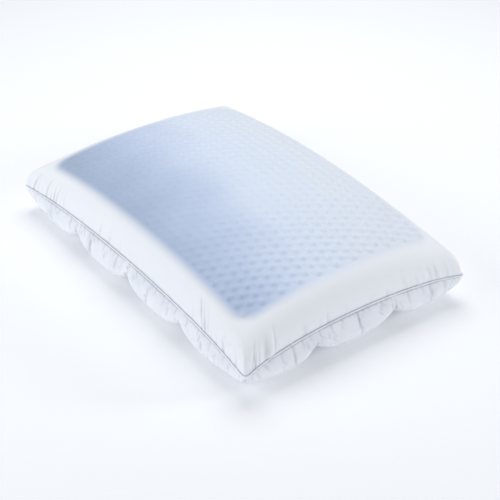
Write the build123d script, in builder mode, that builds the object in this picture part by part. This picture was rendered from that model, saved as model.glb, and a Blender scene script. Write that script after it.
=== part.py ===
from build123d import *
import math
import os

# Hybrid bed pillow: a foam core with a cooling gel pad under a thin top cover, and a
# baffle-box underside of fibre pockets, closed by one piped seam round the edge.
# Millimetres. +X runs along the pillow, +Y across it, +Z up, and z = 0 is the bed.

# Driving dimensions
pillow_length = 610
pillow_width = 400
pillow_height = 135
corner_radius = 32            # plan radius of the piped corners
side_bow = 7                  # how far the long sides pull in at the middle
end_bow = 9                   # how far the short ends pull in at the middle
seam_height = 58              # the piped seam at the middle of each side
seam_droop = 16               # how much lower the seam is at the corners
cloth = 0.8                   # cover, baffle and divider cloth
ease = 0.4                    # clearance between a filling and its cloth

# Piping
piping_radius = 2.6
piping_cord_radius = 1.5
piping_bore_radius = 1.6
seam_gap = 1.2                # crease between the piping bead and the covers
flange_gap = 0.3              # between the bead and its seam allowance
flange_width = 8              # seam allowance of the bias strip, inside the covers
cover_inset = 2 * piping_radius + seam_gap

# Filling of the upper chamber
gel_length = 520
gel_width = 348
gel_thickness = 6
gel_corner = 40

# Fibre pockets of the lower chamber
pocket_borders_x = (-140, 0, 140)
pocket_borders_y = (-70, 70)
groove_depth = 28             # depth of the quilted grooves on the underside
groove_width = 3
pocket_round = 22             # rounding of a pocket's lower edges
thread_radius = 0.35

# Care label, folded once and caught in the far long seam
label_width = 32
label_drop = 24
label_thickness = 0.5
label_x = 190

half_length = pillow_length / 2
half_width = pillow_width / 2
pocket_edges_x = (-half_length, *pocket_borders_x, half_length)
pocket_edges_y = (-half_width, *pocket_borders_y, half_width)


def seam_point(along, across, inset=0, lift=0):
    # A point of the seam line. along and across run from -1 to 1 over the plan.
    x = along * (half_length - inset - end_bow * (1 - across**2))
    y = across * (half_width - inset - side_bow * (1 - along**2))
    return Vector(x, y, seam_height - seam_droop * (along * across) ** 2 + lift)


def outline(half_x, half_y, radius):
    # A rounded rectangle whose four sides are arcs that pull in at the middle.
    end_pull = end_bow * half_x / half_length
    side_pull = side_bow * half_y / half_width
    with BuildSketch() as shape:
        with BuildLine():
            ThreePointArc((-half_x, -half_y), (0, side_pull - half_y), (half_x, -half_y))
            ThreePointArc((half_x, -half_y), (half_x - end_pull, 0), (half_x, half_y))
            ThreePointArc((half_x, half_y), (0, half_y - side_pull), (-half_x, half_y))
            ThreePointArc((-half_x, half_y), (end_pull - half_x, 0), (-half_x, -half_y))
        make_face()
        fillet(shape.vertices(), radius)
    return shape.sketch


def cover_outline(inset):
    # The plan of the covers where they meet the seam, inset by a distance.
    rim = cover_inset + inset
    return outline(half_length - rim, half_width - rim, corner_radius - rim)


def crowned_dome(inset):
    # The upper half as a solid, inset from the outer face of the top cover.
    # Each level is an outline that shrinks towards the crown on a superellipse.
    base = seam_height - seam_droop - 12
    rise = pillow_height - inset - base
    with BuildPart() as dome:
        for level in (0, 0.22, 0.45, 0.65, 0.8, 0.9, 0.97, 1):
            share = min(level, 0.99)
            half_x = (half_length - cover_inset - inset) * (1 - share**3.4) ** 0.5
            half_y = (half_width - cover_inset - inset) * (1 - share**4.6) ** 0.5
            radius = min(corner_radius - cover_inset + 60 * level, 0.8 * half_y)
            with BuildSketch(Plane.XY.offset(base + rise * level)):
                add(outline(half_x, half_y, radius))
        loft()
    return dome.part


def below_seam(drop):
    # Everything under the seam surface, which dips towards the four corners.
    reach = 1.08
    steps = [reach * (index / 4 - 1) for index in range(9)]
    rows = []
    for across in steps:
        row = []
        for along in steps:
            z = seam_height - drop - seam_droop * (along * across) ** 2
            row.append(Vector(along * half_length, across * half_width, z))
        rows.append(row)
    surface = Face.make_surface_from_array_of_points(rows)
    if surface.normal_at().Z < 0:
        surface = -surface
    with BuildPart() as under:
        extrude(surface, amount=2 * pillow_height, dir=(0, 0, -1))
    return under.part


def seam_loop(inset, lift, bend):
    # A closed route beside the seam: straight runs joined by large tangent arcs,
    # with the plan corners rounded to bend.
    steps = [-0.75 + 0.25 * index for index in range(8)]
    route = [(step, -1) for step in steps] + [(1, step) for step in steps]
    route += [(-along, -across) for along, across in route]
    points = [seam_point(along, across, inset, lift) for along, across in route]
    radii = []
    for index, point in enumerate(points):
        into = point - points[index - 1]
        out = points[(index + 1) % len(points)] - point
        half_turn = math.radians(into.get_angle(out)) / 2
        largest = 0.45 * min(into.length, out.length) / math.tan(half_turn)
        is_corner = abs(route[index][0] * route[index][1]) == 1
        radii.append(bend if is_corner else largest)
    with BuildLine() as loop:
        FilletPolyline(*points, radius=radii, close=True)
    return loop.wire()


def ring(path, radius):
    # A round bead swept once round a closed path.
    with BuildPart() as bead:
        with BuildSketch(Plane(path @ 0, z_dir=path % 0)):
            Circle(radius)
        sweep(path=path)
    return bead.part


def pocket_block(column, row, inset):
    # One pocket as a solid from the bed to above the seam, inset from its outer face.
    low_x = pocket_edges_x[column] + groove_width / 2 + inset
    high_x = pocket_edges_x[column + 1] - groove_width / 2 - inset
    low_y = pocket_edges_y[row] + groove_width / 2 + inset
    high_y = pocket_edges_y[row + 1] - groove_width / 2 - inset
    with BuildPart() as block:
        with BuildSketch(Plane.XY.offset(inset)):
            with Locations(((low_x + high_x) / 2, (low_y + high_y) / 2)):
                Rectangle(high_x - low_x, high_y - low_y)
            add(cover_outline(inset), mode=Mode.INTERSECT)
        extrude(amount=pillow_height / 2)
        fillet(block.faces().sort_by(Axis.Z)[0].edges(), pocket_round - inset)
    return block.part


def finish(part, name):
    # Every sub-part is labelled and written under its own name.
    part.label = name
    export_step(part, f"parts/{name}.step")


os.makedirs("parts", exist_ok=True)

# Shared shapes
flange_top = below_seam(0)
flange_bottom = below_seam(cloth)
divider_bottom = below_seam(2 * cloth)
filling_top = below_seam(2 * cloth + 2.4)
cover_outside = crowned_dome(0)
cover_inside = crowned_dome(cloth)
filling_outside = crowned_dome(cloth + ease)
gel_inside = crowned_dome(cloth + ease + gel_thickness)
foam_under_gel = crowned_dome(cloth + 2 * ease + gel_thickness)
bead_path = seam_loop(piping_radius, -cloth / 2, corner_radius - piping_radius)

# Top cover: one piece of stretch knit from the seam up over the crown.
with BuildPart() as top_cover:
    add(cover_outside)
    add(cover_inside, mode=Mode.SUBTRACT)
    add(flange_top, mode=Mode.SUBTRACT)

# Gel pad: lies on the foam and follows the crown.
with BuildPart() as gel_pad:
    with BuildSketch():
        RectangleRounded(gel_length, gel_width, gel_corner)
    extrude(amount=pillow_height)
    add(filling_outside, mode=Mode.INTERSECT)
    add(gel_inside, mode=Mode.SUBTRACT)

# Foam core: fills the upper chamber, with a shallow seat for the gel pad.
with BuildPart() as gel_seat:
    with BuildSketch():
        RectangleRounded(gel_length + 2 * ease, gel_width + 2 * ease, gel_corner + ease)
    extrude(amount=pillow_height)
    add(foam_under_gel, mode=Mode.SUBTRACT)

with BuildPart() as foam_core:
    add(filling_outside)
    add(gel_seat.part, mode=Mode.SUBTRACT)
    add(flange_top, mode=Mode.SUBTRACT)

# Divider: the cloth between the two chambers, caught in the seam.
with BuildPart() as divider_panel:
    with BuildSketch(Plane.XY.offset(groove_depth)):
        add(cover_outline(0))
    extrude(amount=pillow_height / 2)
    add(flange_bottom, mode=Mode.INTERSECT)
    add(divider_bottom, mode=Mode.SUBTRACT)

# Bottom cover: a web at groove height, with a pocket hanging under each cell.
cells = [(column, row) for column in range(4) for row in range(3)]
with BuildPart() as pocket_skins:
    for column, row in cells:
        add(pocket_block(column, row, 0))
    split(bisect_by=Plane.XY.offset(groove_depth + cloth / 2), keep=Keep.BOTTOM)

with BuildPart() as pocket_hollows:
    for column, row in cells:
        add(pocket_block(column, row, cloth))
    split(bisect_by=Plane.XY.offset(groove_depth + 2 * cloth), keep=Keep.BOTTOM)

with BuildPart() as bottom_cover:
    with BuildSketch(Plane.XY.offset(groove_depth)):
        add(cover_outline(0))
    extrude(amount=pillow_height / 2)
    with BuildSketch(Plane.XY.offset(groove_depth + cloth)):
        add(cover_outline(cloth))
    extrude(amount=pillow_height / 2, mode=Mode.SUBTRACT)
    add(divider_bottom, mode=Mode.INTERSECT)
    add(pocket_skins.part)
    add(pocket_hollows.part, mode=Mode.SUBTRACT)

# Baffles: cloth walls from the web up to the divider, two along the pillow and
# three short ones across it in each row.
baffle_foot = groove_depth + cloth
for index, y in enumerate(pocket_borders_y):
    with BuildPart() as long_baffle:
        with BuildSketch(Plane.XY.offset(baffle_foot)):
            with Locations((0, y)):
                Rectangle(pillow_length, cloth)
            add(cover_outline(cloth), mode=Mode.INTERSECT)
        extrude(amount=pillow_height / 2)
        add(divider_bottom, mode=Mode.INTERSECT)
    finish(long_baffle.part, f"long_baffle_{index + 1}")

for column, x in enumerate(pocket_borders_x):
    for row in range(3):
        low_y = pocket_edges_y[row] + cloth / 2
        high_y = pocket_edges_y[row + 1] - cloth / 2
        with BuildPart() as cross_baffle:
            with BuildSketch(Plane.XY.offset(baffle_foot)):
                with Locations((x, (low_y + high_y) / 2)):
                    Rectangle(cloth, high_y - low_y)
                add(cover_outline(cloth), mode=Mode.INTERSECT)
            extrude(amount=pillow_height / 2)
            add(divider_bottom, mode=Mode.INTERSECT)
        finish(cross_baffle.part, f"cross_baffle_{column + 1}_{row + 1}")

# Fibre filling: one loose block in each pocket.
for column, row in cells:
    with BuildPart() as fibre_fill:
        add(pocket_block(column, row, cloth + ease))
        add(filling_top, mode=Mode.INTERSECT)
    finish(fibre_fill.part, f"fibre_fill_{column + 1}_{row + 1}")

# Piping: a filler cord in a bias strip. The strip's bead and the seam allowance that is
# caught between the covers are two solids of one node, a hair apart.
piping_cord = ring(bead_path, piping_cord_radius)
with BuildPart() as piping_cover:
    with BuildSketch(Plane.XY.offset(groove_depth)):
        add(cover_outline(flange_gap - seam_gap))
        add(cover_outline(flange_width), mode=Mode.SUBTRACT)
    extrude(amount=pillow_height / 2)
    add(flange_top, mode=Mode.INTERSECT)
    add(flange_bottom, mode=Mode.SUBTRACT)
    add(ring(bead_path, piping_radius) - ring(bead_path, piping_bore_radius))

# Threads: the stitch line in the crease beside the piping, and the quilting lines.
stitch_inset = 2 * piping_radius + seam_gap / 2
stitch_lift = 1.5 + thread_radius
seam_thread = ring(seam_loop(stitch_inset, stitch_lift, corner_radius - stitch_inset), thread_radius)

quilt_level = groove_depth - 2 * thread_radius
quilt_reach_x = half_length - end_bow - 2 * cover_inset
quilt_reach_y = half_width - side_bow - 2 * cover_inset
with BuildPart() as quilting_thread:
    for y in pocket_borders_y:
        with BuildSketch(Plane.YZ.offset(-quilt_reach_x)):
            with Locations((y, quilt_level)):
                Circle(thread_radius)
        extrude(amount=2 * quilt_reach_x)
    for x in pocket_borders_x:
        with BuildSketch(Plane.XZ.offset(-quilt_reach_y)):
            with Locations((x, quilt_level)):
                Circle(thread_radius)
        extrude(amount=2 * quilt_reach_y)

# Care label: a blank folded tape that hangs from the far long seam.
label_top = seam_point(label_x / half_length, 1, cover_inset, -4)
with BuildPart() as care_label:
    with BuildSketch(Plane.XY.offset(label_top.Z - label_drop)):
        with Locations((label_top.X, label_top.Y + 1.5)):
            Rectangle(label_width, 2 * label_thickness)
    extrude(amount=label_drop)

finish(top_cover.part, "top_cover")
finish(gel_pad.part, "gel_pad")
finish(foam_core.part, "foam_core")
finish(divider_panel.part, "divider_panel")
finish(bottom_cover.part, "bottom_cover")
finish(piping_cord, "piping_cord")
finish(piping_cover.part, "piping_cover")
finish(seam_thread, "seam_thread")
finish(quilting_thread.part, "quilting_thread")
finish(care_label.part, "care_label")
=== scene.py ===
import math

import bmesh
import bpy
import numpy as np
from mathutils import Matrix, Vector
from mathutils.bvhtree import BVHTree


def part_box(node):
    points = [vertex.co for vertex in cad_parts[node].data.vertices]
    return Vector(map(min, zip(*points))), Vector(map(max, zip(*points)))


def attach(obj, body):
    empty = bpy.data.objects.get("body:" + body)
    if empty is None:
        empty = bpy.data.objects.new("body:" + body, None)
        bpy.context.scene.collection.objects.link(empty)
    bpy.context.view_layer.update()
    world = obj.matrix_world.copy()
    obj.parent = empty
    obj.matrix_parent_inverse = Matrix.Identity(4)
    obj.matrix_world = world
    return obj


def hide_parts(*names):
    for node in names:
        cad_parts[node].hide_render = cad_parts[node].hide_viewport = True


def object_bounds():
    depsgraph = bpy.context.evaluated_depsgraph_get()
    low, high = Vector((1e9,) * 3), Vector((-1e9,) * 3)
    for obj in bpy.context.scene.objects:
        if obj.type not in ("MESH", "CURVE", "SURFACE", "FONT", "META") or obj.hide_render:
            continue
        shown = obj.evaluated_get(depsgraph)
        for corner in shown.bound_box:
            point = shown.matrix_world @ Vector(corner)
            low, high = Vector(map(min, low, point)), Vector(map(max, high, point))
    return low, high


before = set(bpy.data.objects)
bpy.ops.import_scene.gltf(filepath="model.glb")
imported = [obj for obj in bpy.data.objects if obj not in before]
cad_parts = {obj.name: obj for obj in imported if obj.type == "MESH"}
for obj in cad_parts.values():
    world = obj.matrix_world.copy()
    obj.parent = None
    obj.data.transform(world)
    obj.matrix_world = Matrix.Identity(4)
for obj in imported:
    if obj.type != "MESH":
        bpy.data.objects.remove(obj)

# Hybrid bed pillow, in metres. Blue gel pad and foam above, quilted fibre pockets below.
mm = 0.001
cadLow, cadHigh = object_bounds()
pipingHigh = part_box("piping_cover")[1]
coverLow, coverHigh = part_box("top_cover")
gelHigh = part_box("gel_pad")[1]
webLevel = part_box("cross_baffle_1_1")[0].z  # the quilted lines of the underside
scene = bpy.context.scene
scene.view_settings.view_transform = "Standard"

# Camera and studio
studio = {
    "azimuth": 53.7,
    "elevation": 34.02,
    "distance": 1.9635,
    "lens": 90.97,
    "target": (0.0356, 0.0068, 0.0189),
    "floorSize": 5,
    "floorColour": "#FAFBFD",
    "skyColour": "#E8F0FB",
    "skyStrength": 0.33,
    "floorGlow": 0.1,
}
lights = {
    # azimuth, elevation, distance, size, power and colour
    "topLight": (-130, 66, 1.8, 1.4, 17, "#FFFFFF"),
    "rakingLight": (140, 20, 2.4, 0.5, 12, "#FFFEFB"),
    "fillLight": (-14, 23, 2.6, 1.8, 27, "#FFFFFF"),
    "endLight": (78, 20, 2.6, 1.8, 9, "#FFFFFF"),
}


def directionFrom(azimuth, elevation):
    turn, rise = math.radians(azimuth), math.radians(elevation)
    return Vector((math.sin(turn) * math.cos(rise), -math.cos(turn) * math.cos(rise), math.sin(rise)))


def linearColour(code):
    # sRGB hex to linear, with full alpha
    parts = [int(code[i:i + 2], 16) / 255 for i in (1, 3, 5)]
    return [p / 12.92 if p <= 0.04045 else ((p + 0.055) / 1.055) ** 2.4 for p in parts] + [1.0]


def makeCamera():
    back = directionFrom(studio["azimuth"], studio["elevation"])
    camera = bpy.data.objects.new("camera", bpy.data.cameras.new("camera"))
    camera.data.lens = studio["lens"]
    camera.location = Vector(studio["target"]) + back * studio["distance"]
    camera.rotation_euler = (-back).to_track_quat("-Z", "Y").to_euler()
    scene.collection.objects.link(camera)
    scene.camera = camera


def areaLight(name, azimuth, elevation, distance, size, power, colour):
    away = directionFrom(azimuth, elevation)
    lamp = bpy.data.objects.new(name, bpy.data.lights.new(name, "AREA"))
    lamp.data.size = size
    lamp.data.energy = power
    lamp.data.color = linearColour(colour)[:3]
    lamp.location = away * distance
    lamp.rotation_euler = away.to_track_quat("Z", "Y").to_euler()
    scene.collection.objects.link(lamp)


makeCamera()
for lightName, lightValues in lights.items():
    areaLight(lightName, *lightValues)
print("camera and lights placed")


# Materials
def addNode(tree, kind, settings=None, links=None):
    # settings: property or input name to value; links: input name to output socket
    node = tree.nodes.new(kind)
    for key, value in (settings or {}).items():
        if isinstance(key, str) and key not in node.inputs:
            setattr(node, key, value)
        else:
            node.inputs[key].default_value = value
    for key, socket in (links or {}).items():
        tree.links.new(socket, node.inputs[key])
    return node


def startMaterial(name, settings):
    material = bpy.data.materials.new(name)
    material.use_nodes = True
    tree = material.node_tree
    shader = tree.nodes["Principled BSDF"]
    for key, value in settings.items():
        shader.inputs[key].default_value = value
    return material, tree, shader


def waveScale(period):
    # a wave texture draws one band each 2 pi / 20 units
    return 2 * math.pi / (20 * period)


def weaveHeight(tree, place, period, axes=("X", "Y", "Z")):
    # threads crossing: the product of sine bands along each axis
    height = None
    for axis in axes:
        band = addNode(
            tree,
            "ShaderNodeTexWave",
            {"wave_type": "BANDS", "bands_direction": axis, "Scale": waveScale(period), "Distortion": 0.6,
             "Detail": 1.0, "Detail Scale": 1.5},
            {"Vector": place},
        )
        if height is None:
            height = band.outputs["Fac"]
        else:
            height = addNode(
                tree, "ShaderNodeMath", {"operation": "MULTIPLY"}, {0: height, 1: band.outputs["Fac"]}
            ).outputs[0]
    return height


def paintFoldShade(tree, colour):
    # painted shade: cloth deep in a fold, and beside the seam, is painted greyer, as less light gets out of a
    # fold
    fold = addNode(tree, "ShaderNodeAttribute", {"attribute_name": "paintedFoldShade"}).outputs["Fac"]
    mixed = addNode(
        tree,
        "ShaderNodeMix",
        {"data_type": "RGBA", "blend_type": "MULTIPLY", 7: linearColour("#A9AFBB")},
        {0: fold, 6: colour},
    )
    return mixed.outputs[2]


def clothMaterial(name, colour, shade, period, settings, bump=0.25, mottle=0.03):
    # a plain woven cloth: fine weave bump and soft colour mottle, with painted shade in its folds
    material, tree, shader = startMaterial(name, settings)
    place = addNode(tree, "ShaderNodeTexCoord").outputs["Object"]
    height = weaveHeight(tree, place, period)
    cloud = addNode(tree, "ShaderNodeTexNoise", {"Scale": 1 / mottle, "Detail": 3.0}, {"Vector": place})
    ramp = addNode(tree, "ShaderNodeValToRGB", links={"Fac": cloud.outputs["Fac"]})
    ramp.color_ramp.elements[0].position = 0.3
    ramp.color_ramp.elements[0].color = linearColour(shade)
    ramp.color_ramp.elements[1].position = 0.62
    ramp.color_ramp.elements[1].color = linearColour(colour)
    # painted shade in folds, read from the piece's attribute
    tree.links.new(paintFoldShade(tree, ramp.outputs["Color"]), shader.inputs["Base Color"])
    raised = addNode(
        tree,
        "ShaderNodeBump",
        {"Strength": bump, "Distance": 0.12 * mm},
        {"Height": height},
    )
    tree.links.new(raised.outputs["Normal"], shader.inputs["Normal"])
    return material


topKnitLook = {
    "rib": 1.9 * mm,  # real wales are 0.6 mm; drawn coarser so that they show
    "white": "#F4F6FA",
    # gel blue, painted deeper at the front (painted shade) and paler at the far end (painted highlight)
    "paintedLightBlues": ((0.08, "#A4B4CD"), (0.2, "#B1C1DC"), (0.34, "#C3D1EA"), (0.52, "#DCE7F7"), (0.78, "#E4EAF4")),
    "length": coverHigh.x - coverLow.x,
    "width": coverHigh.y - coverLow.y,
}


def makeTopKnit():
    # Polyester stretch knit, brushed: matt with a soft halo at grazing angles. It is thin, so the
    # blue gel shows through it; that blue is painted deeper along the front (painted shade) and paler towards
    # the far end (painted highlight).
    look = topKnitLook
    material, tree, shader = startMaterial(
        "brushedStretchKnit",
        {"Roughness": 0.62, "Sheen Weight": 0.35, "Sheen Roughness": 0.45, "Specular IOR Level": 0.35},
    )
    place = addNode(tree, "ShaderNodeTexCoord").outputs["Object"]
    tint = addNode(tree, "ShaderNodeAttribute", {"attribute_name": "gelTint"}).outputs["Fac"]
    parts = addNode(tree, "ShaderNodeSeparateXYZ", links={"Vector": place})
    # painted shade and painted highlight: the blue gets deeper towards the front and paler towards the far
    # end and towards +x
    lengthwise = addNode(
        tree,
        "ShaderNodeMath",
        {"operation": "MULTIPLY", 1: 0.25 / look["length"]},
        {0: parts.outputs["X"]},
    )
    crosswise = addNode(
        tree,
        "ShaderNodeMath",
        {"operation": "MULTIPLY_ADD", 1: 0.85 / look["width"], 2: 0.5},
        {0: parts.outputs["Y"]},
    )
    spread = addNode(
        tree, "ShaderNodeMath", {"operation": "ADD"}, {0: lengthwise.outputs[0], 1: crosswise.outputs[0]}
    )
    cloud = addNode(tree, "ShaderNodeTexNoise", {"Scale": 9.0, "Detail": 3.0}, {"Vector": place})
    drift = addNode(
        tree,
        "ShaderNodeMath",
        {"operation": "MULTIPLY_ADD", 1: 0.2, 2: -0.1},
        {0: cloud.outputs["Fac"]},
    )
    share = addNode(tree, "ShaderNodeMath", {"operation": "ADD"}, {0: spread.outputs[0], 1: drift.outputs[0]})
    paintedLightBlues = addNode(tree, "ShaderNodeValToRGB", links={"Fac": share.outputs[0]})
    stops = paintedLightBlues.color_ramp.elements
    stops.remove(stops[1])
    stops[0].position = look["paintedLightBlues"][0][0]
    stops[0].color = linearColour(look["paintedLightBlues"][0][1])
    for position, colour in look["paintedLightBlues"][1:]:
        stops.new(position).color = linearColour(colour)
    mixed = addNode(
        tree,
        "ShaderNodeMix",
        {"data_type": "RGBA", 6: linearColour(look["white"])},
        {0: tint, 7: paintedLightBlues.outputs["Color"]},
    )
    # painted shade in folds and in a line beside the seam
    tree.links.new(paintFoldShade(tree, mixed.outputs[2]), shader.inputs["Base Color"])
    height = weaveHeight(tree, place, look["rib"], ("X", "Y"))
    raised = addNode(tree, "ShaderNodeBump", {"Strength": 0.2, "Distance": 0.1 * mm}, {"Height": height})
    tree.links.new(raised.outputs["Normal"], shader.inputs["Normal"])
    return material


def makeGel():
    # Polyurethane cooling gel, cast: smooth, slightly see-through, with a satin skin.
    material, tree, shader = startMaterial(
        "castCoolingGel",
        {"Roughness": 0.34, "IOR": 1.45, "Subsurface Weight": 0.25, "Subsurface Scale": 0.004,
         "Coat Weight": 0.15, "Coat Roughness": 0.3},
    )
    place = addNode(tree, "ShaderNodeTexCoord").outputs["Object"]
    cloud = addNode(tree, "ShaderNodeTexNoise", {"Scale": 14.0, "Detail": 4.0}, {"Vector": place})
    ramp = addNode(tree, "ShaderNodeValToRGB", links={"Fac": cloud.outputs["Fac"]})
    ramp.color_ramp.elements[0].color = linearColour("#7BA6DE")
    ramp.color_ramp.elements[1].color = linearColour("#A3C2EE")
    tree.links.new(ramp.outputs["Color"], shader.inputs["Base Color"])
    raised = addNode(
        tree, "ShaderNodeBump", {"Strength": 0.15, "Distance": 0.2 * mm}, {"Height": cloud.outputs["Fac"]}
    )
    tree.links.new(raised.outputs["Normal"], shader.inputs["Normal"])
    return material


def makeFoam():
    # Open-cell polyurethane foam, cut: cream, fully matt, with fine pores on the cut face.
    material, tree, shader = startMaterial(
        "cutPolyurethaneFoam", {"Roughness": 0.95, "Specular IOR Level": 0.2}
    )
    place = addNode(tree, "ShaderNodeTexCoord").outputs["Object"]
    cells = addNode(tree, "ShaderNodeTexVoronoi", {"Scale": 1 / (2.4 * mm)}, {"Vector": place})
    # painted shade: the pore pits are painted a darker cream than the cell walls
    ramp = addNode(tree, "ShaderNodeValToRGB", links={"Fac": cells.outputs["Distance"]})
    ramp.color_ramp.elements[0].color = linearColour("#D9D0B4")
    ramp.color_ramp.elements[1].position = 0.45
    ramp.color_ramp.elements[1].color = linearColour("#F2EBD6")
    tree.links.new(ramp.outputs["Color"], shader.inputs["Base Color"])
    raised = addNode(
        tree, "ShaderNodeBump", {"Strength": 0.5, "Distance": 0.5 * mm}, {"Height": cells.outputs["Distance"]}
    )
    tree.links.new(raised.outputs["Normal"], shader.inputs["Normal"])
    return material


def makeFibre():
    # Hollow polyester fibre, carded and blown: a bright tangle with soft shadows between strands.
    material, tree, shader = startMaterial(
        "cardedPolyesterFibre", {"Roughness": 0.9, "Sheen Weight": 0.6, "Sheen Roughness": 0.5}
    )
    place = addNode(tree, "ShaderNodeTexCoord").outputs["Object"]
    strands = addNode(
        tree,
        "ShaderNodeTexNoise",
        {"Scale": 1 / (5 * mm), "Detail": 5.0, "Distortion": 2.5},
        {"Vector": place},
    )
    ramp = addNode(tree, "ShaderNodeValToRGB", links={"Fac": strands.outputs["Fac"]})
    ramp.color_ramp.elements[0].position = 0.3
    ramp.color_ramp.elements[0].color = linearColour("#DADCE0")
    ramp.color_ramp.elements[1].position = 0.6
    ramp.color_ramp.elements[1].color = linearColour("#F7F8FA")
    tree.links.new(ramp.outputs["Color"], shader.inputs["Base Color"])
    raised = addNode(
        tree, "ShaderNodeBump", {"Strength": 0.8, "Distance": 1.5 * mm}, {"Height": strands.outputs["Fac"]}
    )
    tree.links.new(raised.outputs["Normal"], shader.inputs["Normal"])
    return material


matt = {"Roughness": 0.8, "Sheen Weight": 0.15, "Sheen Roughness": 0.5, "Specular IOR Level": 0.3}
topKnit = makeTopKnit()
castGel = makeGel()
cutFoam = makeFoam()
cardedFibre = makeFibre()
# Fine plain-woven cotton: bright, matt, faintly cool. Its 0.3 mm weave is drawn at 1.5 mm.
bottomCotton = clothMaterial("wovenCotton", "#F3F5FA", "#EBEEF5", 1.5 * mm, matt)
# Bias-cut cotton strip: the same cloth pulled tight round a cord, with its colour painted a little brighter,
# a painted highlight on the ridge.
paintedHighlightBiasCotton = clothMaterial("biasCutCottonPaintedHighlight", "#F7F9FC", "#EDF0F6", 1.2 * mm, matt, mottle=0.012)
# Woven ticking: a plainer, slightly warm inner cloth.
innerTicking = clothMaterial("wovenTicking", "#ECECE8", "#E2E2DC", 1.8 * mm, matt, bump=0.35)
# Spun polyester thread: small and bright, with a soft gloss from its twist.
spunThread = clothMaterial(
    "spunPolyesterThread", "#F1F3F7", "#E3E6EC", 0.7 * mm, {**matt, "Roughness": 0.5}, mottle=0.005
)
# Twisted cotton cord: unbleached and fuzzy.
twistedCotton = clothMaterial(
    "twistedCottonCord", "#E9E5DA", "#DAD5C6", 0.9 * mm, matt, bump=0.5, mottle=0.004
)
# Satin tape: floats of bright thread give it a soft sheen.
satin = {**matt, "Roughness": 0.36, "Sheen Weight": 0.4}
satinTape = clothMaterial("wovenSatinTape", "#F5F5F3", "#ECECEA", 0.8 * mm, satin, mottle=0.01)
print("materials made")

# The seam: the line where both covers, the divider and the piping are sewn together
seam = {
    "beadRadius": 1.2 * mm,
    "endBow": 9 * mm,
    "sideBow": 7 * mm,
    "height": 58 * mm,
    "droop": 14 * mm,
    "cornerPush": 0.028,
    "samples": 2400,
    "softening": 260,  # smoothing passes that round the four corners
    "tuck": 0.9 * mm,  # how far inside the bead's line the covers are sewn
}
seamX = pipingHigh.x - seam["beadRadius"]
seamY = pipingHigh.y - seam["beadRadius"]


def squarePoint(u):
    # u runs 0 to 4 round a square: front, right, back, left
    side = np.floor(u).astype(int) % 4
    run = 2 * (u - np.floor(u)) - 1
    one = np.ones_like(run)
    return np.choose(side, [run, one, -run, -one]), np.choose(side, [-one, run, one, -run])


def squareParameter(a, b):
    # the reverse, for points on the square's edge
    sides = [b <= -1 + 1e-6, a >= 1 - 1e-6, b >= 1 - 1e-6]
    runs = [(a + 1) / 2, 1 + (b + 1) / 2, 2 + (1 - a) / 2]
    return np.select(sides, runs, 3 + (1 - b) / 2) % 4


def makeSeamLine():
    u = np.arange(seam["samples"]) / seam["samples"] * 4
    a, b = squarePoint(u)
    x = a * (seamX - seam["endBow"] * (1 - b**2)) * (1 + seam["cornerPush"] * np.abs(b) ** 8)
    y = b * (seamY - seam["sideBow"] * (1 - a**2)) * (1 + seam["cornerPush"] * np.abs(a) ** 8)
    z = seam["height"] - seam["droop"] * (a * b) ** 2
    line = np.stack([x, y, z], 1)
    for turn in range(seam["softening"]):
        line = line / 2 + (np.roll(line, 1, 0) + np.roll(line, -1, 0)) / 4
    return line


seamLine = makeSeamLine()
seamGrid = np.arange(seam["samples"] + 1) / seam["samples"] * 4
seamSteps = np.linalg.norm(np.roll(seamLine, -1, 0) - seamLine, axis=1)
seamTravel = np.concatenate([[0], np.cumsum(seamSteps)])
seamLength = seamTravel[-1]
seamOut = np.roll(seamLine, -1, 0) - np.roll(seamLine, 1, 0)
seamOut = np.stack([seamOut[:, 1], -seamOut[:, 0]], 1)
seamOut /= np.linalg.norm(seamOut, axis=1)[:, None]


def roundTheSeam(values, u):
    # points or directions sampled on the seam line, read at any u
    closed = np.concatenate([values, values[:1]])
    return np.stack([np.interp(u % 4, seamGrid, closed[:, i]) for i in range(closed.shape[1])], 1)


def seamTravelAt(u):
    return np.interp(u % 4, seamGrid, seamTravel)


def seamPlaces(travel):
    # points of the seam line and its outward directions, at distances along it
    u = np.interp(travel, seamTravel, seamGrid)
    return roundTheSeam(seamLine, u), roundTheSeam(seamOut, u)


# Mesh helpers
def skirtedGrid(columns, rows, rings):
    # a flat grid of -1 to 1 with a skirt round it; z holds how far down the skirt a point is
    bm = bmesh.new()
    bmesh.ops.create_grid(bm, x_segments=columns, y_segments=rows, size=1)
    rim = [edge for edge in bm.edges if edge.is_boundary]
    for ring in range(rings):
        grown = bmesh.ops.extrude_edge_only(bm, edges=rim)["geom"]
        for vert in grown:
            if isinstance(vert, bmesh.types.BMVert):
                vert.co.z = (ring + 1) / rings
        rim = [edge for edge in grown if isinstance(edge, bmesh.types.BMEdge)]
    return bm


def readPoints(bm):
    return np.array([vert.co for vert in bm.verts])


def writePoints(bm, points):
    for vert, point in zip(bm.verts, points):
        vert.co = point


def readNormals(bm):
    bm.normal_update()
    return np.array([vert.normal for vert in bm.verts])


def outwards(bm):
    bmesh.ops.recalc_face_normals(bm, faces=bm.faces)


def turnedOut(bm, place, upwards):
    # normals of an open cover, turned so that the point at place faces up or down
    outwards(bm)
    normals = readNormals(bm)
    if (normals[place][2] > 0) != upwards:
        bmesh.ops.reverse_faces(bm, faces=bm.faces)
        normals = readNormals(bm)
    return normals


def clothTree(piece):
    mesh = piece.data
    return BVHTree.FromPolygons([v.co for v in mesh.vertices], [p.vertices for p in mesh.polygons])


def makePiece(name, bm, material, stands):
    mesh = bpy.data.meshes.new(name)
    bm.to_mesh(mesh)
    bm.free()
    mesh.materials.append(material)
    mesh.shade_smooth()
    piece = bpy.data.objects.new(name, mesh)
    scene.collection.objects.link(piece)
    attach(piece, "root")
    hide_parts(*stands)
    return piece


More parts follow.
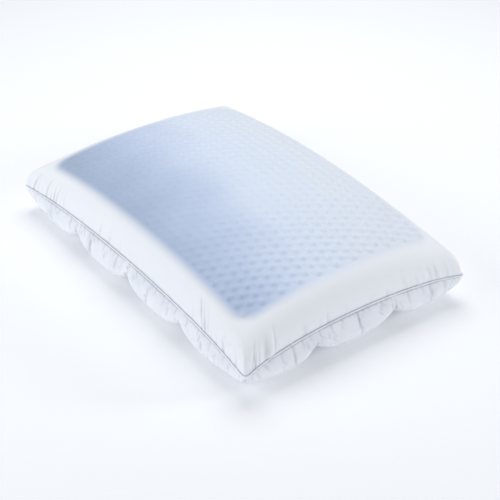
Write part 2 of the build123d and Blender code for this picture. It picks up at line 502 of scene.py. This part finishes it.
def addThickness(piece, thickness, offset=-1.0):
    wall = piece.modifiers.new("thickness", "SOLIDIFY")
    wall.thickness = thickness
    wall.offset = offset


def bezier(points, t):
    p0, p1, p2, p3 = points
    t = t[:, None]
    return (1 - t) ** 3 * p0 + 3 * (1 - t) ** 2 * t * p1 + 3 * (1 - t) * t**2 * p2 + t**3 * p3


def roundedRectangle(a, b, halfX, halfY, corner):
    # a square grid bent to a rectangle with round corners
    x, y = np.abs(a) * halfX, np.abs(b) * halfY
    p = np.clip((x - halfX + corner) / corner, 0, 1)
    q = np.clip((y - halfY + corner) / corner, 0, 1)
    x = np.where(p > 0, halfX - corner + corner * p * np.sqrt(1 - q**2 / 2), x)
    y = np.where(q > 0, halfY - corner + corner * q * np.sqrt(1 - p**2 / 2), y)
    return np.sign(a) * x, np.sign(b) * y


# Crown: the taut upper surface over the gel pad
crown = {
    "top": cadHigh.z - 2.2 * mm,  # the domes reach the rest
    "spreadX": 277.3 * mm,
    "spreadY": 184.8 * mm,
    "fallX": 23.2 * mm,
    "fallY": 15.7 * mm,
    "shoulder": 4.44 * mm,
    "zoneX": 255 * mm,
    "zoneY": 168 * mm,
    "shoulderPull": 0.62,
    "wallPull": 0.55,
    "wallLean": 0.12,
}
domes = {
    "rowPitch": 8.51 * mm,
    "pitch": 32.06 * mm,
    "firstRow": -246 * mm,
    "rows": 59,
    "radius": 6.0 * mm,
    "height": 3.8 * mm,
    "flatShare": 0.42,  # the domes press less into the cloth where the crown is flat
    "proudFrom": 60 * mm,
    "proudOver": 160 * mm,
    "jitter": 0.35 * mm,
}


def crownHeight(x, y):
    u, v = x / crown["spreadX"], y / crown["spreadY"]
    return crown["top"] - (crown["fallX"] * u**2 + crown["fallY"] * v**2 + crown["shoulder"] * (u**4 + v**4))


def upperSurface(flat, inset=0.0):
    # flat holds (a, b, t): the crown for t = 0, then down the side wall to the seam at t = 1
    a, b, t = flat.T
    onSkirt = t > 0
    reachX, reachY = crown["zoneX"] - inset, crown["zoneY"] - inset
    x, y = a * reachX, b * reachY
    points = np.stack([x, y, crownHeight(x, y) - inset], 1)
    u = squareParameter(a[onSkirt], b[onSkirt])
    foot = roundTheSeam(seamLine, u)
    out = roundTheSeam(seamOut, u)
    foot[:, :2] -= out * (seam["tuck"] + inset)
    start = points[onSkirt]
    across = foot[:, :2] - start[:, :2]
    gap = np.linalg.norm(across, axis=1)
    across /= gap[:, None]
    nudge = mm
    ahead = start[:, :2] + across * nudge
    slope = (crownHeight(ahead[:, 0], ahead[:, 1]) - crownHeight(start[:, 0], start[:, 1])) / nudge
    pull = crown["shoulderPull"] * gap
    shoulder = start + np.stack([across[:, 0] * pull, across[:, 1] * pull, slope * pull], 1)
    rise = crown["wallPull"] * (start[:, 2] - foot[:, 2])
    lean = crown["wallLean"] * rise
    wall = foot + np.stack([-across[:, 0] * lean, -across[:, 1] * lean, rise], 1)
    points[onSkirt] = bezier((start, shoulder, wall, foot), t[onSkirt])
    return points


def domeHeights(x, y, seed):
    rng = np.random.default_rng(seed)
    total = np.zeros_like(x)
    for row in range(domes["rows"]):
        rowX = domes["firstRow"] + row * domes["rowPitch"]
        offsets = np.arange(-5, 6) if row % 2 == 0 else np.arange(-5, 5) + 0.5
        near = np.abs(x - rowX) < domes["radius"] + domes["jitter"]
        nearX, nearY = x[near], y[near]
        lift = np.zeros_like(nearX)
        for k in offsets:
            centreX, centreY = np.array([rowX, k * domes["pitch"]]) + rng.normal(0, domes["jitter"], 2)
            share = np.hypot(nearX - centreX, nearY - centreY) / domes["radius"]
            nearEnd = np.clip((rowX - domes["proudFrom"]) / domes["proudOver"], 0, 1)
            proud = domes["flatShare"] + (1 - domes["flatShare"]) * nearEnd
            height = domes["height"] * proud * rng.uniform(0.85, 1.1)
            lift = np.maximum(lift, height * np.clip(1 - share**2, 0, 1) ** 1.4)
        total[near] = np.maximum(total[near], lift)
    return total


topPiece = {
    "columns": 256,
    "rows": 170,
    "rings": 32,
    "thickness": 0.8 * mm,
    "tintX": 260 * mm,
    "tintY": 171 * mm,
    "tintCorner": 26 * mm,
    "tintFade": 20 * mm,
    "pleats": 340,
    "pleatHeight": 0.75 * mm,
    "cornerShare": 0.6,  # of the pleats, how many crowd towards the corners
    "cornerReach": 62 * mm,
    "swellSize": 0.11,
    "swellHeight": 0.35 * mm,
    "swellSeed": 8,
    # how strongly the folds get painted shade
    "foldShadeStrength": 1500,
    "seed": 4,
}


def wallFolds(flat, choice, seed):
    # pleats that start in the seam, each with its own length, crowded towards the corners
    rng = np.random.default_rng(seed)
    a, b, t = flat.T
    travel = seamTravelAt(squareParameter(a, b))
    corners = seamTravelAt(np.arange(4.0))
    amount = np.zeros(len(t))
    for pleat in range(choice["pleats"]):
        cornered = rng.random() < choice["cornerShare"]
        if cornered:
            centre = corners[rng.integers(4)] + rng.normal(0, choice["cornerReach"])
        else:
            centre = rng.uniform(0, seamLength)
        width = rng.uniform(1.6 * mm, 4.2 * mm)
        height = choice["pleatHeight"] * rng.normal(0, 1) * (1.5 if cornered else 0.8)
        top = rng.uniform(0.3, 0.75) if cornered else rng.uniform(0.55, 0.88)
        drift = rng.normal(0, 5 * mm)
        gap = travel - centre - drift * (1 - t)
        gap = np.abs((gap + seamLength / 2) % seamLength - seamLength / 2)
        reach = np.clip((t - top) / (1 - top), 0, 1)
        spread = width * (1 + 0.8 * (1 - reach))
        amount += height * np.exp(-((gap / spread) ** 2)) * reach**0.8 * (1 - t**16)
    return np.where(t > 0, amount, 0)


def unevenness(x, y, size, height, seed):
    # slow swells from a few crossing waves
    rng = np.random.default_rng(seed)
    total = np.zeros_like(x)
    for wave in range(7):
        angle, phase = rng.uniform(0, 2 * math.pi, 2)
        length = size * rng.uniform(0.7, 1.6)
        total += np.sin((x * math.cos(angle) + y * math.sin(angle)) * 2 * math.pi / length + phase)
    return height * total / 3


def storePaintedFoldShade(piece, flat, strength):
    # painted shade, stored as an attribute: how far each point lies in a fold, plus a painted shade line
    # beside the seam
    mesh = piece.data
    count = len(mesh.vertices)
    points, normals = np.zeros(count * 3), np.zeros(count * 3)
    mesh.vertices.foreach_get("co", points)
    mesh.vertex_normals.foreach_get("vector", normals)
    points, normals = points.reshape(-1, 3), normals.reshape(-1, 3)
    ends = np.zeros(len(mesh.edges) * 2, int)
    mesh.edges.foreach_get("vertices", ends)
    ends = ends.reshape(-1, 2)
    total, links = np.zeros((count, 3)), np.zeros(count)
    for here, there in ((0, 1), (1, 0)):
        np.add.at(total, ends[:, here], points[ends[:, there]])
        np.add.at(links, ends[:, here], 1)
    hollow = ((total / links[:, None] - points) * normals).sum(1) * strength
    # painted shade line: the last few millimetres of each cover, at the seam, are painted grey
    seamShade = np.clip((flat[:, 2] - 0.965) / 0.03, 0, 1)
    depth = np.clip(np.maximum(hollow, 0) * (flat[:, 2] > 0) + 0.9 * seamShade, 0, 1)
    store = mesh.attributes.new("paintedFoldShade", "FLOAT", "POINT")
    store.data.foreach_set("value", depth.astype(np.float32))


def gelTintAt(points):
    # 1 over the gel pad, fading to 0 outside its rounded outline
    corner = topPiece["tintCorner"]
    x = np.abs(points[:, 0]) - (topPiece["tintX"] - corner)
    y = np.abs(points[:, 1]) - (topPiece["tintY"] - corner)
    outside = np.hypot(np.maximum(x, 0), np.maximum(y, 0)) + np.minimum(np.maximum(x, y), 0) - corner
    share = np.clip(0.5 - outside / topPiece["tintFade"], 0, 1)
    return share * share * (3 - 2 * share)


def makeTopCover():
    bm = skirtedGrid(topPiece["columns"], topPiece["rows"], topPiece["rings"])
    flat = readPoints(bm)
    points = upperSurface(flat)
    writePoints(bm, points)
    normals = turnedOut(bm, np.argmax(points[:, 2]), True)
    x, y = points[:, 0], points[:, 1]
    onCrown = flat[:, 2] == 0
    edge = np.maximum(np.abs(flat[:, 0]), np.abs(flat[:, 1])) * onCrown
    swell = unevenness(x, y, topPiece["swellSize"], topPiece["swellHeight"], topPiece["swellSeed"])
    lift = domeHeights(x, y, topPiece["seed"]) * onCrown
    lift += swell * (1 - edge**6) * onCrown
    lift += wallFolds(flat, topPiece, topPiece["seed"])
    points += normals * lift[:, None]
    writePoints(bm, points)
    tint = bm.verts.layers.float.new("gelTint")
    for vert, share in zip(bm.verts, gelTintAt(points)):
        vert[tint] = share
    piece = makePiece("topCover", bm, topKnit, ["top_cover"])
    storePaintedFoldShade(piece, flat, topPiece["foldShadeStrength"])
    addThickness(piece, topPiece["thickness"])


makeTopCover()
print("top cover made")

# Bottom cover: fibre pockets held by the quilted lines, blown up by a cloth simulation
pockets = {
    "bordersX": (-140 * mm, 0.0, 140 * mm),
    "bordersY": (-70 * mm, 70 * mm),
    "columns": 186,
    "rows": 118,
    "rings": 22,
    "insetX": 50 * mm,
    "insetY": 45 * mm,
    "depth": 26.5 * mm,
    "bulge": 26 * mm,
    "lineBulge": 15 * mm,
    "fullness": 3.2,  # how square a pocket is across; 2 is round
    "gathers": 130,
    "gatherHeight": 0.6 * mm,
    "thickness": 0.8 * mm,
    "frames": 20,
    "pressure": 4.0,
    "slack": -0.004,  # the cloth is cut larger than its frame, so it gathers
    "corner": 60 * mm,
    "lowPull": 1.28,  # how far the cloth runs out before it turns up, as a share of the gap
    "cornerPull": 0.75,
    "cornerLift": 5 * mm,
    "highDrop": 0.6,
    # how strongly the folds get painted shade
    "foldShadeStrength": 900,
    "seed": 11,
}


def snapped(share, steps):
    # the grid line nearest to a share of -1 to 1
    return round((share + 1) / 2 * steps) / steps * 2 - 1


borderA = snapped(pockets["bordersX"][2] / seamX, pockets["columns"])
borderB = snapped(pockets["bordersY"][1] / seamY, pockets["rows"])
webX = seamX - pockets["insetX"]
webY = seamY - pockets["insetY"]


def pocketShare(v, border, halved):
    # 0 on a quilted line and 1 in the middle of a pocket; v is -1 to 1 across the pillow,
    # and halved means that a quilted line also runs along v = 0
    v = np.abs(v)
    inner = np.abs(v / border * 2 - 1) if halved else v / border
    outer = np.clip(1 - (v - border) / (1 - border) * 2, 0, 1)
    return 1 - np.where(v > border, outer, np.clip(inner, 0, 1)) ** pockets["fullness"]


def lowerSurface(flat):
    # flat holds (a, b, t): the quilted underside for t = 0, then out and up to the seam at t = 1
    a, b, t = flat.T
    share = pocketShare(a, borderA, True) * pocketShare(b, borderB, False)
    lineX, lineY = pockets["bordersX"][2], pockets["bordersY"][1]
    x = np.sign(a) * np.interp(np.abs(a), [0, borderA, 1], [0, lineX, webX])
    y = np.sign(b) * np.interp(np.abs(b), [0, borderB, 1], [0, lineY, webY])
    x, y = roundedRectangle(x / webX, y / webY, webX, webY, pockets["corner"])
    z = webLevel - pockets["depth"] * share
    points = np.stack([x, y, z], 1)
    onSkirt = t > 0
    u = squareParameter(a[onSkirt], b[onSkirt])
    foot = roundTheSeam(seamLine, u)
    out = roundTheSeam(seamOut, u)
    foot[:, :2] -= out * seam["tuck"]
    start = points[onSkirt]
    puff = share[onSkirt][:, None]
    across = foot[:, :2] - start[:, :2]
    flatOut = np.concatenate([across, np.zeros((len(across), 1))], 1)
    drop = (foot[:, 2] - start[:, 2])[:, None]
    up = np.array([[0.0, 0.0, 1.0]])
    outward = np.concatenate([out, np.zeros((len(out), 1))], 1)
    cornered = (np.abs(a * b)[onSkirt] ** 4)[:, None]
    low = start + flatOut * (pockets["lowPull"] - pockets["cornerPull"] * cornered)
    low += up * pockets["cornerLift"] * cornered
    push = (pockets["lineBulge"] + (pockets["bulge"] - pockets["lineBulge"]) * puff) * (1 - 0.9 * cornered)
    high = foot - up * drop * (pockets["highDrop"] - 0.05 * puff) + outward * push
    points[onSkirt] = bezier((start, low, high, foot), t[onSkirt])
    return points


def sewnDown(flat):
    # true where the cloth is sewn: the seam and the quilted lines
    a, b, t = flat.T
    stepA, stepB = 0.6 / pockets["columns"], 0.6 / pockets["rows"]
    acrossLine = (np.abs(np.abs(a) - borderA) < stepA) | (np.abs(a) < stepA)
    alongLine = np.abs(np.abs(b) - borderB) < stepB
    onLong = (t == 0) | (np.abs(b) > 1 - 1e-6)
    onShort = (t == 0) | (np.abs(a) > 1 - 1e-6)
    return (acrossLine & onLong) | (alongLine & onShort) | (t > 1 - 1e-6)


def blowUp(piece, pinned):
    group = piece.vertex_groups.new(name="sewn")
    group.add([int(i) for i in np.nonzero(pinned)[0]], 1.0, "REPLACE")
    cloth = piece.modifiers.new("cloth", "CLOTH")
    settings = cloth.settings
    settings.quality = 6
    settings.mass = 0.15
    settings.tension_stiffness = 12
    settings.compression_stiffness = 12
    settings.shear_stiffness = 4
    settings.bending_stiffness = 3.0
    settings.vertex_group_mass = "sewn"
    settings.shrink_min = pockets["slack"]
    settings.shrink_max = pockets["slack"]
    settings.use_pressure = True
    settings.uniform_pressure_force = pockets["pressure"]
    settings.effector_weights.gravity = 0
    cloth.collision_settings.use_collision = False
    cloth.point_cache.frame_start = 1
    cloth.point_cache.frame_end = pockets["frames"]
    for number in range(1, pockets["frames"] + 1):
        scene.frame_set(number)
    bpy.context.view_layer.update()
    shaped = piece.evaluated_get(bpy.context.evaluated_depsgraph_get())
    result = np.zeros(len(piece.data.vertices) * 3)
    shaped.data.vertices.foreach_get("co", result)
    piece.modifiers.remove(cloth)
    piece.vertex_groups.remove(group)
    scene.frame_set(1)
    return result.reshape(-1, 3)


def restOnFloor(points, floor):
    # flattens what hangs below, with a small soft edge to each flat
    soft = 3 * mm
    height = points[:, 2] - floor
    eased = (np.clip(height, -soft, soft) + soft) ** 2 / (4 * soft)
    points[:, 2] = floor + np.where(height < soft, eased, height)
    return points


def sewnGathers(flat):
    # cloth gathered into the seam: narrow folds, closer beside the quilted lines
    rng = np.random.default_rng(pockets["seed"] + 1)
    a, b, t = flat.T
    travel = seamTravelAt(squareParameter(a, b))
    lines = []
    for side in range(4):
        shares = (-borderA, 0.0, borderA) if side % 2 == 0 else (-borderB, borderB)
        lines += [side + (share + 1) / 2 for share in shares]
    lines = seamTravelAt(np.array(lines))
    amount = np.zeros(len(t))
    for gather in range(pockets["gathers"]):
        if rng.random() < 0.4:
            centre = lines[rng.integers(len(lines))] + rng.normal(0, 13 * mm)
        else:
            centre = rng.uniform(0, seamLength)
        width = rng.uniform(2.0 * mm, 4.4 * mm)
        height = pockets["gatherHeight"] * rng.normal(0, 1)
        low = rng.uniform(0.1, 0.6)
        gap = travel - centre - rng.normal(0, 4 * mm) * (1 - t)
        gap = np.abs((gap + seamLength / 2) % seamLength - seamLength / 2)
        reach = np.clip((t - low) / (1 - low), 0, 1)
        amount += height * np.exp(-((gap / width) ** 2)) * np.sin(math.pi * reach**1.6) ** 0.8
    return np.where(t > 0, amount, 0)


def makeBottomCover():
    bm = skirtedGrid(pockets["columns"], pockets["rows"], pockets["rings"])
    flat = readPoints(bm)
    points = lowerSurface(flat)
    writePoints(bm, points)
    normals = turnedOut(bm, np.argmin(points[:, 2]), False)
    pinned = sewnDown(flat)
    lift = sewnGathers(flat)
    roughness = np.random.default_rng(pockets["seed"]).normal(0, 0.02 * mm, len(lift))
    start = points + normals * np.where(pinned, 0, lift + roughness)[:, None]
    writePoints(bm, start)
    piece = makePiece("bottomCover", bm, bottomCotton, ["bottom_cover"])
    start = blowUp(piece, pinned) + normals * (0.6 * lift)[:, None]
    points = restOnFloor(start, pockets["thickness"] * 0.5)
    piece.data.vertices.foreach_set("co", points.ravel())
    piece.data.update()
    storePaintedFoldShade(piece, flat, pockets["foldShadeStrength"])
    addThickness(piece, pockets["thickness"])
    return piece


bottomCover = makeBottomCover()
print("bottom cover blown up and laid down")

# Piping: a bias strip sewn round a twisted cord
piping = {
    "stations": 900,
    "sides": 16,
    "strip": 0.4 * mm,
    "cordStations": 1500,
    "cordSides": 12,
    "cordRadius": 0.8 * mm,
    "lobes": 3,
    "twist": 9 * mm,
}


def sweepRound(profile, stations, sides):
    # profile(angles, travel) gives (outward, up) offsets; the sweep closes on itself
    bm = bmesh.new()
    ring = bmesh.ops.create_circle(bm, segments=sides, radius=1)["verts"]
    angles = np.arange(sides) / sides * 2 * math.pi
    places = np.arange(stations) / stations * seamLength
    centres, outs = seamPlaces(places)
    first = list(bm.edges)
    edges = first
    for index in range(stations):
        if index:
            grown = bmesh.ops.extrude_edge_only(bm, edges=edges)["geom"]
            edges = [item for item in grown if isinstance(item, bmesh.types.BMEdge)]
            fresh = {item for item in grown if isinstance(item, bmesh.types.BMVert)}
            reached = [[edge.other_vert(vert) for edge in vert.link_edges] for vert in ring]
            ring = [next(other for other in others if other in fresh) for others in reached]
        outward, up = profile(angles, places[index])
        for vert, sideways, lift in zip(ring, outward, up):
            x, y = centres[index, :2] + outs[index] * sideways
            vert.co = (x, y, centres[index, 2] + lift)
    bmesh.ops.bridge_loops(bm, edges=edges + first)
    outwards(bm)
    return bm


def beadProfile(angles, travel):
    ripple = 1 + 0.03 * math.sin(travel / (3.1 * mm)) + 0.02 * math.sin(travel / (7.7 * mm))
    return seam["beadRadius"] * ripple * np.cos(angles), seam["beadRadius"] * ripple * np.sin(angles)


def cordProfile(angles, travel):
    turn = 2 * math.pi * travel / piping["twist"]
    radius = piping["cordRadius"] * (1 + 0.16 * np.cos(piping["lobes"] * angles + turn))
    return radius * np.cos(angles), radius * np.sin(angles)


def makePiping():
    bead = makePiece(
        "pipingStrip",
        sweepRound(beadProfile, piping["stations"], piping["sides"]),
        paintedHighlightBiasCotton,
        ["piping_cover"],
    )
    addThickness(bead, piping["strip"])
    cord = sweepRound(cordProfile, piping["cordStations"], piping["cordSides"])
    makePiece("fillerCord", cord, twistedCotton, ["piping_cord"])


makePiping()
print("piping made")

# Inner pieces: hidden in the closed pillow, but each as it is on the bench
inner = {
    "gap": 1.4 * mm,  # between the top cover and what fills it
    "foamGap": 2.2 * mm,  # the foam lies this much further in
    "gelMargin": 4 * mm,
    "gelThickness": 6 * mm,
    "gelCorner": 40 * mm,
    "cloth": 0.8 * mm,
    "divider": 1.0 * mm,  # how far below the seam surface the divider hangs
    "fibreGap": 1.8 * mm,
    "baffleWave": 2.2 * mm,
    "baffleRipple": 19 * mm,
}


def seamSurface(a, b):
    x = a * (seamX - seam["endBow"] * (1 - b**2))
    y = b * (seamY - seam["sideBow"] * (1 - a**2))
    return np.stack([x, y, seam["height"] - seam["droop"] * (a * b) ** 2], 1)


def acrossSeam(a, b, inset):
    # the seam surface, meeting the seam line itself at its edge
    points = seamSurface(a, b)
    rim = np.maximum(np.abs(a), np.abs(b)) > 1 - 1e-6
    u = squareParameter(a[rim], b[rim])
    edge = roundTheSeam(seamLine, u)
    edge[:, :2] -= roundTheSeam(seamOut, u) * inset
    points[rim] = edge
    return points


def makeGelPad():
    bm = skirtedGrid(210, 140, 0)
    flat = readPoints(bm)
    halfX, halfY = gelHigh.x - inner["gelMargin"], gelHigh.y - inner["gelMargin"]
    x, y = roundedRectangle(flat[:, 0], flat[:, 1], halfX, halfY, inner["gelCorner"])
    z = crownHeight(x, y) - inner["gap"] + domeHeights(x, y, topPiece["seed"]) * 0.8
    writePoints(bm, np.stack([x, y, z], 1))
    outwards(bm)
    piece = makePiece("gelPad", bm, castGel, ["gel_pad"])
    if piece.data.polygons[0].normal.z < 0:
        piece.data.flip_normals()
    addThickness(piece, inner["gelThickness"])


def makeFoamCore():
    bm = skirtedGrid(96, 64, 14)
    underside = Matrix.Translation((0, 0, -1))
    bmesh.ops.create_grid(bm, x_segments=96, y_segments=64, size=1, matrix=underside)
    flat = readPoints(bm)
    below = flat[:, 2] < 0
    points = np.zeros_like(flat)
    inset = inner["gap"] + inner["foamGap"]
    points[~below] = upperSurface(flat[~below], inset)
    seat = gelTintAt(points)
    points[:, 2] -= (inner["gelThickness"] - 1.6 * mm) * seat * ~below
    points[below] = acrossSeam(flat[below, 0], flat[below, 1], seam["tuck"] + inset)
    writePoints(bm, points)
    bmesh.ops.remove_doubles(bm, verts=bm.verts, dist=0.02 * mm)
    outwards(bm)
    piece = makePiece("foamCore", bm, cutFoam, ["foam_core"])


def makeDivider():
    bm = skirtedGrid(90, 60, 0)
    flat = readPoints(bm)
    points = acrossSeam(flat[:, 0], flat[:, 1], seam["tuck"])
    edge = np.maximum(np.abs(flat[:, 0]), np.abs(flat[:, 1]))
    sag = inner["divider"] + unevenness(points[:, 0], points[:, 1], 0.09, 0.4 * mm, 21)
    points[:, 2] -= sag * (1 - edge**8)
    writePoints(bm, points)
    piece = makePiece("dividerPanel", bm, innerTicking, ["divider_panel"])
    addThickness(piece, inner["cloth"], 0)


def makeBaffle(name, start, end, startSlant, endSlant, stands, seed):
    # an upright wall from the quilted line to the divider; its ends lean out where they meet the sides
    start, end = np.array(start), np.array(end)
    length = np.linalg.norm(end - start)
    along = (end - start) / length
    bm = skirtedGrid(max(8, int(length / (5 * mm))), 8, 0)
    flat = readPoints(bm)
    run, height = (flat[:, 0] + 1) / 2, (flat[:, 1] + 1) / 2
    low = -startSlant * height
    high = length + endSlant * height
    distance = low + (high - low) * run
    x, y = start[0] + along[0] * distance, start[1] + along[1] * distance
    top = seamSurface(x / seamX, y / seamY)[:, 2] - 2 * inner["divider"]
    z = webLevel + inner["cloth"] / 2 + (top - webLevel) * height
    phase = np.random.default_rng(seed).uniform(0, 2 * math.pi)
    wave = np.sin(distance / inner["baffleRipple"] + phase + 1.5 * height) * np.sin(math.pi * height)
    wave *= inner["baffleWave"]
    writePoints(bm, np.stack([x - along[1] * wave, y + along[0] * wave, z], 1))
    piece = makePiece(name, bm, innerTicking, [stands])
    addThickness(piece, inner["cloth"], 0)


def makeBaffles():
    slantX, slantY = 0.7 * pockets["insetX"], 0.7 * pockets["insetY"]
    for index, y in enumerate(pockets["bordersY"]):
        stands = f"long_baffle_{index + 1}"
        makeBaffle(f"longBaffle{index + 1}", (-webX, y), (webX, y), slantX, slantX, stands, 30 + index)
    lineY = pockets["bordersY"][1]
    spans = ((-webY, -lineY, slantY, 0), (-lineY, lineY, 0, 0), (lineY, webY, 0, slantY))
    for column, x in enumerate(pockets["bordersX"]):
        for row, (low, high, lowSlant, highSlant) in enumerate(spans):
            makeBaffle(
                f"crossBaffle{column + 1}{row + 1}", (x, low + mm), (x, high - mm), lowSlant, highSlant,
                f"cross_baffle_{column + 1}_{row + 1}", 40 + 3 * column + row,
            )


def makeFibreFills():
    # each pocket's fibre is one loose clump that takes the pocket's shape
    cloth = clothTree(bottomCover)
    edgesX = (-seamX + 14 * mm, *pockets["bordersX"], seamX - 14 * mm)
    edgesY = (-seamY + 12 * mm, *pockets["bordersY"], seamY - 12 * mm)
    down = Vector((0, 0, -1))
    for column in range(4):
        for row in range(3):
            bm = bmesh.new()
            bmesh.ops.create_icosphere(bm, subdivisions=5, radius=1)
            way = readPoints(bm)
            square = np.sign(way) * np.abs(way) ** 0.62
            halfX = (edgesX[column + 1] - edgesX[column]) / 2 - inner["fibreGap"]
            halfY = (edgesY[row + 1] - edgesY[row]) / 2 - inner["fibreGap"]
            x = (edgesX[column] + edgesX[column + 1]) / 2 + halfX * square[:, 0]
            y = (edgesY[row] + edgesY[row + 1]) / 2 + halfY * square[:, 1]
            roof = seamSurface(x / seamX, y / seamY)[:, 2] - 3 * inner["divider"]
            z = roof / 2 + roof / 2 * square[:, 2]
            z += unevenness(x + y, y - z, 0.03, 0.8 * mm, 60 + 3 * column + row)
            for index in range(len(x)):
                hit = cloth.ray_cast(Vector((x[index], y[index], roof[index])), down)[0]
                lowest = hit.z + inner["fibreGap"] if hit else webLevel
                z[index] = min(max(z[index], lowest), roof[index])
            writePoints(bm, np.stack([x, y, z], 1))
            outwards(bm)
            stands = [f"fibre_fill_{column + 1}_{row + 1}"]
            piece = makePiece(f"fibreFill{column + 1}{row + 1}", bm, cardedFibre, stands)


# Threads: rows of separate stitches
stitches = {"seamPitch": 3.2 * mm, "quiltPitch": 2.7 * mm, "length": 1.15 * mm, "radius": 0.27 * mm}


def addStitch(bm, place, along):
    turn = along.to_track_quat("X", "Z").to_matrix().to_4x4()
    size = Matrix.Diagonal((stitches["length"], stitches["radius"], stitches["radius"], 1))
    bmesh.ops.create_icosphere(bm, subdivisions=1, radius=1, matrix=Matrix.Translation(place) @ turn @ size)


def makeSeamStitches():
    bm = bmesh.new()
    centres, outs = seamPlaces(np.arange(0, seamLength, stitches["seamPitch"]))
    centres[:, :2] -= outs * (seam["beadRadius"] + 1.0 * mm)
    centres[:, 2] += 1.9 * mm
    for centre, out in zip(centres, outs):
        addStitch(bm, Vector(centre), Vector((-out[1], out[0], 0)))
    makePiece("seamStitches", bm, spunThread, ["seam_thread"])


def makeQuiltStitches():
    bm = bmesh.new()
    level = webLevel - pockets["thickness"] - stitches["radius"] / 2
    for y in pockets["bordersY"]:
        for x in np.arange(-webX, webX, stitches["quiltPitch"]):
            addStitch(bm, Vector((x, y, level)), Vector((1, 0, 0)))
    for x in pockets["bordersX"]:
        for y in np.arange(-webY, webY, stitches["quiltPitch"]):
            addStitch(bm, Vector((x, y, level)), Vector((0, 1, 0)))
    makePiece("quiltStitches", bm, spunThread, ["quilting_thread"])


label = {
    "width": 32 * mm,
    "drop": 24 * mm,
    "hang": 0.84,  # it lies on the pocket's slope, so it hangs down less than its length
    "thickness": 0.35 * mm,
    "gap": 1.6 * mm,
    "flare": 2.5 * mm,
}


def makeCareLabel():
    # a blank tape folded in half, with both ends caught in the far seam
    low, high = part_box("care_label")
    bm = skirtedGrid(12, 48, 0)
    flat = readPoints(bm)
    fold = (flat[:, 1] + 1) / 2
    leg = 1 - np.abs(2 * fold - 1)  # 0 at the seam, 1 at the fold
    side = np.clip((fold - 0.5) * 12, -1, 1)
    x = (low.x + high.x) / 2 + flat[:, 0] * label["width"] / 2
    y = low.y + label["flare"] * leg**2 + label["gap"] / 2 * side * np.sqrt(np.clip(1 - leg**10, 0, 1))
    z = high.z + 2 * mm - label["hang"] * label["drop"] * np.sin(leg * math.pi / 2) ** 0.9
    cloth = clothTree(bottomCover)
    for index in range(len(x)):
        side = cloth.ray_cast(Vector((x[index], 2 * high.y, z[index])), Vector((0, -1, 0)))[0]
        if side:
            y[index] += max(0, side.y + label["gap"] - low.y)
    writePoints(bm, np.stack([x, y, z], 1))
    piece = makePiece("careLabel", bm, satinTape, ["care_label"])
    addThickness(piece, label["thickness"], 0)


makeGelPad()
makeFoamCore()
makeDivider()
makeBaffles()
makeFibreFills()
print("fillings, divider and baffles made")
makeSeamStitches()
makeQuiltStitches()
makeCareLabel()
print("stitches and label made")

# Floor, and a sky that lights softly and looks like white paper
bm = bmesh.new()
bmesh.ops.create_grid(bm, x_segments=1, y_segments=1, size=studio["floorSize"] / 2)
floorMesh = bpy.data.meshes.new("floor")
bm.to_mesh(floorMesh)
bm.free()
floor = bpy.data.objects.new("floor", floorMesh)
scene.collection.objects.link(floor)
floorLook = {
    "Roughness": 0.9,
    "Base Color": linearColour(studio["floorColour"]),
    "Emission Color": linearColour("#FFFFFF"),
    "Emission Strength": studio["floorGlow"],
}
floorMesh.materials.append(startMaterial("paintedStudioFloor", floorLook)[0])
world = bpy.data.worlds.new("studio")
scene.world = world
world.use_nodes = True
skyTree = world.node_tree
sky = skyTree.nodes["Background"]
sky.inputs["Color"].default_value = linearColour(studio["skyColour"])
sky.inputs["Strength"].default_value = studio["skyStrength"]
paper = addNode(skyTree, "ShaderNodeBackground", {"Color": linearColour("#FFFFFF"), "Strength": 1.0})
seen = addNode(skyTree, "ShaderNodeLightPath").outputs["Is Camera Ray"]
both = addNode(skyTree, "ShaderNodeMixShader", links={0: seen, 1: sky.outputs[0], 2: paper.outputs[0]})
skyTree.links.new(both.outputs[0], skyTree.nodes["World Output"].inputs["Surface"])
